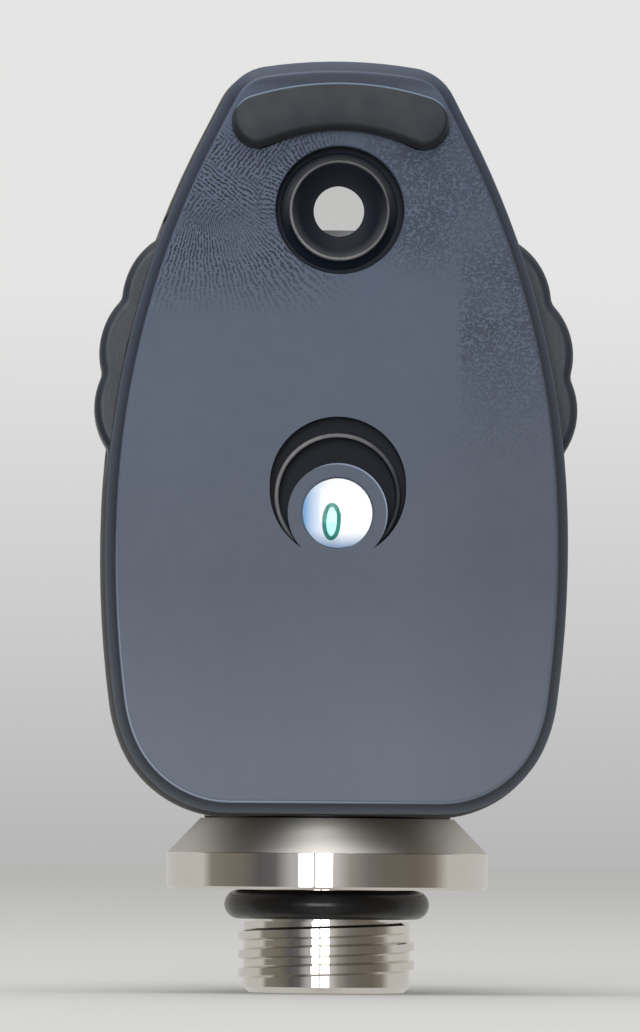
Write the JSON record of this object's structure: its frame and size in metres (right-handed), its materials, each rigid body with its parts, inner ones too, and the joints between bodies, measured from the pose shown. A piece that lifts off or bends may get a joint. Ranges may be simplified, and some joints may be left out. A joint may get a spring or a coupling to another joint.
{
  "type": "pocket ophthalmoscope head",
  "caption": "Direct ophthalmoscope head with a scalloped lens wheel, lit power readout, brow pad, aperture thumbwheel and a threaded metal collar for a battery handle.",
  "frame": {"origin": "centre of the flange's underside, which seats on the handle's rim, on the thread's axis", "axes": "+Z along the thread's axis towards the crown, +Y from the examiner towards the patient, +X to the examiner's right"},
  "size_m": [0.0282, 0.0218, 0.0545],
  "materials": {
    "shell_plastic": "fine spark-eroded grain",
    "wheel_plastic": "satin",
    "black_plastic": "satin",
    "soft_rubber": "smooth",
    "seal_rubber": "lightly greased",
    "collar_metal": "polished nickel plate",
    "screw_steel": "turned",
    "spring_steel": "rolled",
    "chassis_metal": "bead blasted",
    "black_metal": "black anodised",
    "lamp_brass": "nickel-washed",
    "contact_gold": "gold-washed",
    "clear_glass": "polished",
    "green_glass": "polished",
    "mirror_glass": "front silvered",
    "lit_lens": "polished",
    "dial_film": "translucent",
    "filament": "tungsten wire"
  },
  "bodies": {
    "head": {"rear_shell": "shell_plastic", "front_shell": "shell_plastic", "shell_screws": "screw_steel", "front_window": "clear_glass", "brow_pad": "soft_rubber", "sight_cup": "black_plastic", "readout_cup": "black_plastic", "readout_lens": "lit_lens", "wheel_axle": "screw_steel", "wheel_washer": "screw_steel", "collar": "collar_metal", "o_ring": "seal_rubber", "lamp_sleeve": "lamp_brass", "lamp_base": "black_plastic", "lamp_contact": "contact_gold", "lamp_bulb": "clear_glass", "lamp_filament": "filament", "contact_bush": "black_plastic", "contact_spring": "spring_steel", "chassis": "chassis_metal", "collar_screws": "screw_steel", "condenser_barrel": "black_metal", "condenser_lens": "clear_glass", "objective_barrel": "black_metal", "objective_lens": "clear_glass", "lens_ring": "black_metal", "mirror": "mirror_glass", "aperture_axle": "screw_steel", "aperture_spacers": "contact_gold", "wheel_index_spring": "spring_steel", "aperture_index_spring": "spring_steel", "spring_screws": "screw_steel"},
    "lens_wheel": {"lens_wheel": "wheel_plastic", "number_dial": "dial_film", "plus_lenses": "clear_glass", "minus_lenses": "clear_glass"},
    "aperture_wheel": {"aperture_wheel": "wheel_plastic", "green_filter": "green_glass"},
    "contact_plunger": {"contact_plunger": "contact_gold"}
  },
  "joints": [
    {"name": "lens_wheel_spin", "type": "hinge", "parent": "head", "child": "lens_wheel", "pos_m": [0, -0.0068, 0.02885], "axis": [0, 1, 0], "continuous": true, "deforming": ["wheel_index_spring"]},
    {"name": "aperture_wheel_spin", "type": "hinge", "parent": "head", "child": "aperture_wheel", "pos_m": [0, 0.0043, 0.019], "axis": [0, 0, 1], "continuous": true, "deforming": ["aperture_index_spring"]},
    {"name": "contact_press", "type": "slide", "parent": "head", "child": "contact_plunger", "axis": [0, 0, 1], "range_m": [0, 0.0008], "stiffness_N_per_m": 300, "springref_m": -0.0015, "deforming": ["contact_spring"]}
  ]
}
